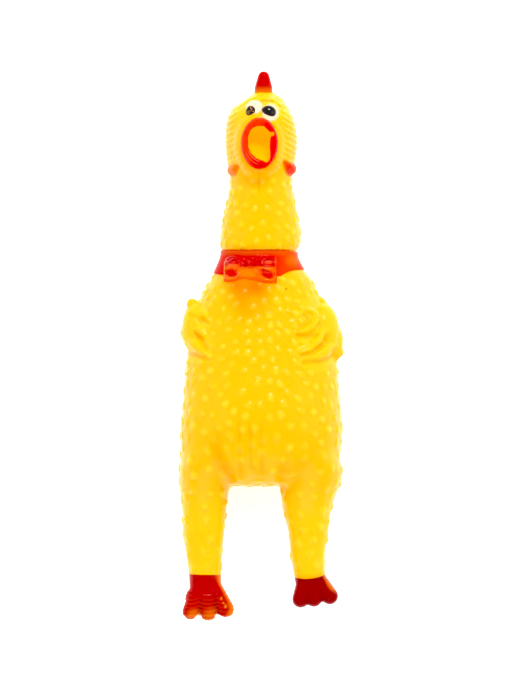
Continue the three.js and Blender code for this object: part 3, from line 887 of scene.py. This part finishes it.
def closed_curve(knots, count):
    """Points by turn about the mouth's centre, on a smooth closed curve through the knots."""
    knots = np.array(knots)
    dx, dy = knots[:, 0] - MOUTH.x, knots[:, 1] - MOUTH.y
    turn = np.arctan2(dy / LIP_OUTER[1], dx / LIP_OUTER[0])
    order = np.argsort(turn)
    turn, knots = turn[order], knots[order]
    turn = np.concatenate([turn - 2 * np.pi, turn, turn + 2 * np.pi])
    knots = np.concatenate([knots, knots, knots])
    at = np.linspace(-np.pi, np.pi, count, endpoint=False)
    return at, np.column_stack([np.interp(at, turn, knots[:, k]) for k in (0, 1)])


def soften_ring(values, rounds):
    """Points of a closed line drawn towards their neighbours."""
    for _ in range(rounds):
        values = 0.25 * np.roll(values, 1, 0) + 0.5 * values + 0.25 * np.roll(values, -1, 0)
    return values


LIP_MATERIAL = tinted_material("chicken_lip_paint", 0.24, gloss=0.08)
LIP_SIDES = 192
LIP_RINGS = 22  # from the outer edge to the inner one
turn, opening = closed_curve(LIP_EDGE, LIP_SIDES)
opening = soften_ring(opening, 3)
outside = np.column_stack(
    [MOUTH.x + LIP_OUTER[0] * np.cos(turn), MOUTH.y + LIP_OUTER[1] * np.sin(turn)]
)
lip_rows = []
for share in np.concatenate([[0], np.linspace(0, 1, LIP_RINGS)]):
    flat = outside + (opening - outside) * share
    height = 54 + 4.1 * math.sin(math.pi * min(share * 0.86 + 0.02, 1)) ** 0.6
    lip_rows.append(np.column_stack([flat, np.full(len(flat), height)]))
lip_rows[0][:, 2] = 49.5
for share, drop in ((1.0, 0.7), (0.99, 2.0), (0.99, 4.0)):
    row = lip_rows[LIP_RINGS].copy()
    row[:, 2] -= drop
    lip_rows.append(row)
lip_rows = np.array(lip_rows)
lx, ly, _ = np.moveaxis(lip_rows, 2, 0)
lip_grain = noise_over(lip_rows, 1.6, 4)
lip_rows[1:20, :, 2] += 0.18 * lip_grain[1:20]
level = np.clip((np.arange(len(lip_rows))[:, None] - 1) / (LIP_RINGS - 1), 0, 1)
level = level * np.ones_like(lx)
leftness = ramp(lx - 0.35 * (ly - MOUTH.y), 1.5, -5)
orange_red, pure_red, deep_red, bare_edge, highlight_pink = paints(
    (255, 62, 0), (232, 0, 6), (205, 0, 4), (255, 178, 20), (255, 120, 90)
)
inner = ramp(level + 0.05 * lip_grain, 0.93, 0.99)
# Thin ridges low on the left, painted along them with pale pink arcs as painted highlights.
low_left = ramp(np.hypot(lx + 6.5, ly - 104.5), 7, 3.5)
streaks = low_left * ramp(np.abs((level * 3.2) % 1 - 0.5), 0.2, 0.05) * ramp(level, 0.35, 0.5) * 0.7
lip_rows[:, :, 2] += 0.25 * streaks
lip_colour = layered(
    pure_red,
    (leftness * (0.75 + 0.4 * lip_grain), orange_red),
    (ramp(np.abs(level - 0.5), 0.3, 0.05) * (1 - leftness) * 0.8, deep_red),
    (ramp(level, 0.1, 0) * 0.4, orange_red),
    (inner * (0.25 + 0.75 * ramp(lx, 6.5, 4) * ramp(lx, 5.5, -3)), bare_edge),
    (ramp(np.hypot(lx - 6.2, ly - 119.2), 1.5, 0.7), bare_edge),
    (streaks, highlight_pink),
)
lips = grid_piece("lips", lip_rows, lip_colour, LIP_MATERIAL, closed=True)
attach(lips, "head")
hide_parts("beak_lips")

# A cup behind the opening, glowing orange as painted light for the light that passes through the
# vinyl walls: [share of the opening, z].
LINER = [(1.02, 54.6), (1.0, 53), (0.99, 51), (0.96, 49)]
LINER += [(0.85, 47.5), (0.6, 46.8), (0.3, 46.5), (0.02, 46.4)]
liner_rows = []
middle = opening.mean(axis=0)
for share, z_at in LINER:
    flat = middle + (opening - middle) * share
    liner_rows.append(np.column_stack([flat, np.full(len(flat), z_at)]))
(glow_orange,) = paints((255, 168, 0))
liner = grid_piece(
    "mouth_lining",
    liner_rows,
    np.ones((len(LINER), LIP_SIDES, 3)) * glow_orange,
    tinted_material("chicken_mouth_glow", 0.6, 0.5),
    closed=True,
)
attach(liner, "head")


# ---- Pupils ----
def dome(name, x, y, z, radii, material, node):
    """A little over half an ellipsoid, standing for a pupil's CAD node."""
    turns = np.linspace(0, 2 * np.pi, 48, endpoint=False)
    lifts = np.linspace(-0.25, 0.4999, 18) * np.pi
    rows = [[on_ball((x, y, z), radii, lift, turn) for turn in turns] for lift in lifts]
    no_tint = np.zeros((len(lifts), len(turns), 3))
    obj = grid_piece(name, rows, no_tint, material, closed=True)
    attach(obj, "head")
    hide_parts(node)


def pupil_material(name, dark, light, low, high, scale):
    """Glossy paint, dark with light specks where the noise passes from low to high."""
    material, tree, shader = new_material(name, {"Roughness": 0.12})
    edge = tree.nodes.new("ShaderNodeMapRange")
    edge.inputs["From Min"].default_value = low
    edge.inputs["From Max"].default_value = high
    tree.links.new(grain(tree, scale, 4), edge.inputs["Value"])
    tree.links.new(mixed(tree, edge.outputs["Result"], dark, light), shader.inputs["Base Color"])
    return material


gold = pupil_material("pupil_speckled", linear(22, 8, 2), linear(190, 120, 20), 0.52, 0.62, 1.1)
black = pupil_material("pupil_black", linear(6, 5, 5), linear(52, 12, 16), 0.52, 0.75, 0.3)
dome("pupil_skin_right", -5.6, 131.9, 48.4, (3, 3.6, 2.6), gold, "pupil_right")
dome("pupil_skin_left", 4.1, 131.6, 48.2, (4.4, 3.9, 3), black, "pupil_left")


# ---- Collar ----
def section(y_at, turn, thickness):
    """A point of the trunk's cross-section, moved out by a thickness."""
    xc, zc, hw, hd = trunk_at(y_at)
    across, deep = rounded_square(turn)
    return xc + (hw + thickness) * across, np.maximum(zc + (hd + thickness) * deep, FLOOR_GAP)


turns = np.linspace(0, 2 * np.pi, 200, endpoint=False)
around_x = section(45.0, turns, 1.3)[0]
bottom = np.interp(
    around_x,
    [-26, -21, -5, 8.9, 11.5, 15.2, 19, 24.3],
    [41.4, 40.4, 39.8, 39.6, 40.9, 42.4, 43.2, 43.6],
)
bottom = np.where(np.sin(turns) > 0, bottom, 42.5 + 0.04 * around_x)
top = 54.4 - 0.9 * ramp(around_x, 17, 22) + 0.12 * np.sin(turns * 11) * np.cos(turns * 5)
top += 0.3 * speckle(np.column_stack([around_x, 0 * turns, 30 * np.sin(turns)]), 1.3, 5)
collar_rows = []
# Share of the collar's height, thickness over the trunk.
profile = [(0, -1.2), (0, 0.5), (0.03, 0.85)]
profile += [(share, 0.9 + 0.4 * share) for share in np.linspace(0.08, 0.88, 14)]
profile += [(0.94, 1.2), (0.985, 0.7), (1, 0.2), (1, -1.5)]
for share, thickness in profile:
    y_at = bottom + (top - bottom) * share
    px, pz = section(y_at, turns, thickness)
    collar_rows.append(np.column_stack([px, y_at, pz]))
collar_rows = np.array(collar_rows)
kx, ky, _ = np.moveaxis(collar_rows, 2, 0)
collar_grain = noise_over(collar_rows, 5, 11)
brown_red, shade_band_orange, brick, orange, shadow_line_brown, rose = paints(
    (210, 16, 4), (222, 88, 30), (238, 60, 20), (255, 100, 8), (160, 24, 6), (240, 60, 60)
)
collar_colour = layered(
    brown_red,
    (ramp(kx + 2 * collar_grain, 4, 14), orange_red),
    (ramp(np.hypot((kx - 17.5) / 4.5, (ky - 48.5) / 4.5), 1.2, 0.2), orange),
    # Painted shade: a duller orange band under the neck's overhanging foot, and a dark brown
    # painted shadow line along the top edge.
    (ramp(ky, 50.4, 52.6) * 0.75, shade_band_orange),
    (ramp(kx, 20.5, 23.5) * 0.35, rose),
    (ramp(ky, 53.6, 54.3) * 0.7, shadow_line_brown),
)
collar_paint = tinted_material("chicken_collar_paint", 0.3, gloss=0.05)
collar = grid_piece("collar", collar_rows, collar_colour, collar_paint, closed=True)
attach(collar, "torso")
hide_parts("collar_band")


# ---- Bow: a relief moulded on a plate over the collar ----
BOW_LEFT, BOW_RIGHT = -21.2, 8.9
bow_x = np.linspace(BOW_LEFT - 0.5, BOW_RIGHT + 0.5, 110)
hem = np.interp(
    bow_x,
    [-21.5, -19, -15, -12.5, -10, -7.3, -3.6, 1.3, 5.8, 9.2],
    [36.6, 36.3, 36.5, 37.8, 38.4, 38, 37.2, 35.7, 35.2, 35.3],
)
peak = np.interp(
    bow_x, [-21.5, -20, -16, -10, -6, 0, 7, 9.2], [48, 50.5, 52, 52, 51, 52.3, 52, 50.5]
)
shares = np.linspace(0, 1, 80)[:, None]
by = hem + (peak - hem) * shares
bx = np.ones_like(by) * bow_x
lift = np.interp(by.ravel(), [34, 36, 41, 55], [-0.1, 0.5, 1.3, 1.35]).reshape(by.shape)
bz = front_z(bx, by) + lift


def ridge(line, width):
    """near_line() over the bow's grid."""
    return near_line(bx.ravel(), by.ravel(), line, width).reshape(bx.shape)


def oval(x_at, y_at, half_x, half_y, tilt=0.0):
    """Distance from an oval's centre in its own radii."""
    dx, dy = bx - x_at, by - y_at
    cos, sin = math.cos(tilt), math.sin(tilt)
    return np.hypot((dx * cos + dy * sin) / half_x, (dy * cos - dx * sin) / half_y)


def bow_noise(scale, seed, z):
    """speckle() over the bow's grid."""
    flat = np.column_stack([bx.ravel(), by.ravel(), z.ravel()])
    return speckle(flat, scale, seed).reshape(bx.shape)


border = np.minimum.reduce([bx - BOW_LEFT, BOW_RIGHT - bx, by - hem, peak - by])
right_edge = BOW_RIGHT - bx + 2 * ramp(by, 44.5, 46.5)
plate = ramp(np.minimum.reduce([bx - BOW_LEFT, right_edge, by - hem]), -0.1, 0.9)
relief_bow = 1.1 * plate * ramp(by, 51.5, 46) * (0.45 + 0.55 * ramp(by - hem, 0.5, 3))
loop_right = oval(4.2, 47.4, 5.2, 2.9, 0.05)
loop_left = oval(-14.3, 48, 7, 3.9, -0.35)
knot = oval(-6, 46.2, 3.2, 3)
warp = bow_noise(2.6, 31, 0 * bx)
lobe_left = oval(-16.9, 41.5, 4.6, 3.0, -0.1) + 0.35 * warp
lobe_right = oval(3.6, 40.6, 5.2, 2.5, -0.33) + 0.35 * warp
relief_bow += 1.5 * ramp(loop_left, 1.1, 0.6) + 1.4 * ramp(loop_right, 1.15, 0.75)
relief_bow -= 1.3 * ramp(loop_right, 0.72, 0.2)
relief_bow = np.maximum(relief_bow, 3.3 * ramp(knot, 1.25, 0.2))
folds_out = [
    [(-19.5, 47.2), (-16, 48.9), (-11.2, 45.9)],
    [(-15, 51), (-12.8, 49.3), (-11.6, 47.8)],
    [(-19.4, 49.6), (-17, 50.8), (-13, 51.2)],
    [(-6.6, 48.6), (-4, 46.6)],
    [(-3, 47.5), (-1, 48.8), (2, 50.3), (7.6, 49.6)],
    [(-3, 51.5), (2, 51.8), (8, 51)],
]
folds_in = [
    [(-18.6, 48.6), (-14.5, 48), (-12.6, 46.4)],
    [(-9.5, 50.2), (-8.4, 46.5), (-9, 44)],
    [(-3.6, 49.5), (-3.2, 45)],
]
for line in folds_out:
    relief_bow += 0.7 * ridge(line, 1.2)
for line in folds_in:
    relief_bow -= 0.9 * ridge(line, 1.1)
relief_bow -= 1.3 * ramp(lobe_left, 1.0, 0.5) + 1.2 * ramp(lobe_right, 1.0, 0.5)
rims = [
    [(-20.6, 47), (-20.7, 38.6), (-18, 37.9), (-14.8, 38.7), (-12.2, 40.8), (-9.5, 42.8), (-5, 43)],
    [(-4.5, 42.8), (-1, 39.9), (2.4, 37.6), (6, 37.4), (8.2, 39), (8.3, 45)],
]
for line in rims:
    relief_bow += 0.9 * ridge(line, 1)
relief_bow += 0.8 * ridge([(-3, 44.6), (2, 43.8), (7.6, 43.8)], 1.5)
hem_line = [(-21, 36.9), (-15, 37), (-12, 38.8), (-7.3, 38.7), (-3.6, 37.9), (1.3, 36.4), (6, 36.2)]
relief_bow -= 0.7 * ridge(hem_line, 0.8)
relief_bow = np.maximum(relief_bow, 0.15)
rim_open = np.maximum(ramp(border, 0.3, -0.2), 0.5 * ramp(peak - by, 1.2, 0.2))
bow_grain = bow_noise(1.5, 21, bz)
bz = bz + relief_bow + 0.25 * bow_grain * ramp(by, 42, 46) - 1.6 * rim_open

bow_red, hollow_red, bow_orange, bow_amber, salmon = paints(
    (204, 0, 4), (208, 12, 0), (250, 100, 4), (240, 128, 12), (246, 92, 50)
)
amber_left = [(-20.7, 47.5), (-20.8, 38.6), (-18, 37.8), (-14.8, 38.6), (-12.4, 40.4)]
amber_right = [(-1.5, 39.6), (2.2, 37.5), (6, 37.2), (8.3, 39), (8.4, 43)]
brick_line = [
    (-20.6, 36.8), (-15, 36.8), (-12, 38.6), (-7.3, 38.4), (-3.6, 37.6), (1.3, 36.2), (6, 36)
]
bow_colour = layered(
    bow_red,
    (ramp(by, 45.6, 43.8), bow_orange),
    (ramp(oval(-8, 41, 6.5, 3.6), 1.1, 0.5) * 0.8, bow_amber),
    (ramp(by - 51.2 - 0.4 * bow_grain, -0.7, 0.6) * ramp(bx, -13, -9) * 0.8, brick),
    (ramp(np.hypot((bx + 16) / 4, (by - 45) / 1.6), 1.15, 0.6) * 0.9, bow_orange),
    (ramp(loop_right, 0.6, 0.2) * 0.7, salmon),
    (ramp(lobe_left + 0.25 * bow_grain, 1.05, 0.55), hollow_red),
    (ramp(lobe_right + 0.25 * bow_grain, 1.05, 0.55), hollow_red),
    (ridge(amber_left, 0.7) * 0.8, bow_amber),
    (ridge(amber_right, 0.7) * 0.8, bow_amber),
    (ridge(brick_line, 0.7) * 0.55, brick),
    (ramp(bx, 7.2, 8.6) * 0.8, orange_red),
    (ramp(by - hem, 1.3, 0.2) * 0.7, bow_orange),
)
bow_paint = tinted_material("chicken_bow_paint", 0.16, gloss=0.22, shine=(1, 0.75, 0.7, 1))
bow = grid_piece("bow", np.dstack([bx, by, bz]), bow_colour, bow_paint)
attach(bow, "torso")
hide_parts("bow_knot", "bow_loop_left", "bow_loop_right", "bow_tail_left", "bow_tail_right")


# ---- Whistle: bare mouldings of hard plastic ----
def hard_plastic(name, colour):
    """Slightly cloudy plastic."""
    values = {
        "Roughness": 0.35,
        "Subsurface Weight": 0.15,
        "Subsurface Radius": (1.0, 0.9, 0.8),
        "Subsurface Scale": 0.8 * MM,
    }
    material, tree, shader = new_material(name, values)
    place = tree.nodes.new("ShaderNodeTexCoord").outputs["Object"]
    cloud = grain(tree, 400, 2, place)
    tree.links.new(mixed(tree, cloud, colour, linear(246, 244, 238)), shader.inputs["Base Color"])
    return material


whistle_material = hard_plastic("whistle_plastic_pale", linear(236, 232, 220))
reed_material = hard_plastic("reed_plastic_clear", linear(222, 226, 228))
for node, material in (
    ("whistle_barrel", whistle_material),
    ("whistle_grille", whistle_material),
    ("reed_trough", whistle_material),
    ("reed_clamp", whistle_material),
    ("reed_tongue", reed_material),
):
    for material_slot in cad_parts[node].material_slots:
        material_slot.material = material

# ---- Floor, light and camera ----
floor_mesh = bpy.data.meshes.new("floor")
floor_mesh.from_pydata([(-3, -3, 0), (3, -3, 0), (3, 3, 0), (-3, 3, 0)], [], [(0, 1, 2, 3)])
floor_values = {
    "Base Color": (0.9, 0.9, 0.9, 1),
    "Roughness": 0.9,
    "Specular IOR Level": 0.0,
    "Emission Color": (1, 1, 1, 1),
    "Emission Strength": 0.57,
}
floor_mesh.materials.append(new_material("floor", floor_values)[0])
floor = new_object("floor", floor_mesh)

world = bpy.data.worlds.new("studio")
bpy.context.scene.world = world
world.use_nodes = True
background = world.node_tree.nodes["Background"]
background.inputs["Color"].default_value = (1, 1, 1, 1)
background.inputs["Strength"].default_value = 0.68


def softbox(name, place, width, height, watts):
    """A lamp of that size (metres), turned to the chicken's middle."""
    data = bpy.data.lights.new(name, "AREA")
    data.shape = "RECTANGLE"
    data.size, data.size_y, data.energy = width, height, watts
    lamp = new_object(name, data)
    lamp.location = place
    to_middle = Vector((0, 0, 0.03)) - Vector(place)
    lamp.rotation_euler = to_middle.to_track_quat("-Z", "Y").to_euler()


softbox("head_side", (0.15, 1.0, 0.95), 0.42, 0.2, 9.8)
softbox("foot_side", (-0.1, -1.2, 0.9), 1.2, 1.0, 6)
softbox("right_side", (1.2, 0.1, 0.9), 1.0, 1.2, 3.2)
softbox("left_side", (-1.2, 0.1, 0.9), 1.0, 1.2, 2.8)

LENS = 350
VIEW_HEIGHT = 0.3953  # of the floor area in view, at the height of the silhouette
camera_data = bpy.data.cameras.new("camera")
camera_data.lens = LENS
camera = new_object("camera", camera_data)
camera.location = (0.0008, -0.002, 0.031 + VIEW_HEIGHT * LENS / camera_data.sensor_width)
bpy.context.scene.camera = camera
view = bpy.context.scene.view_settings
view.view_transform = "Standard"
view.use_curve_mapping = True
view.curve_mapping.black_level = (0.015, 0.015, 0.015)
view.curve_mapping.update()
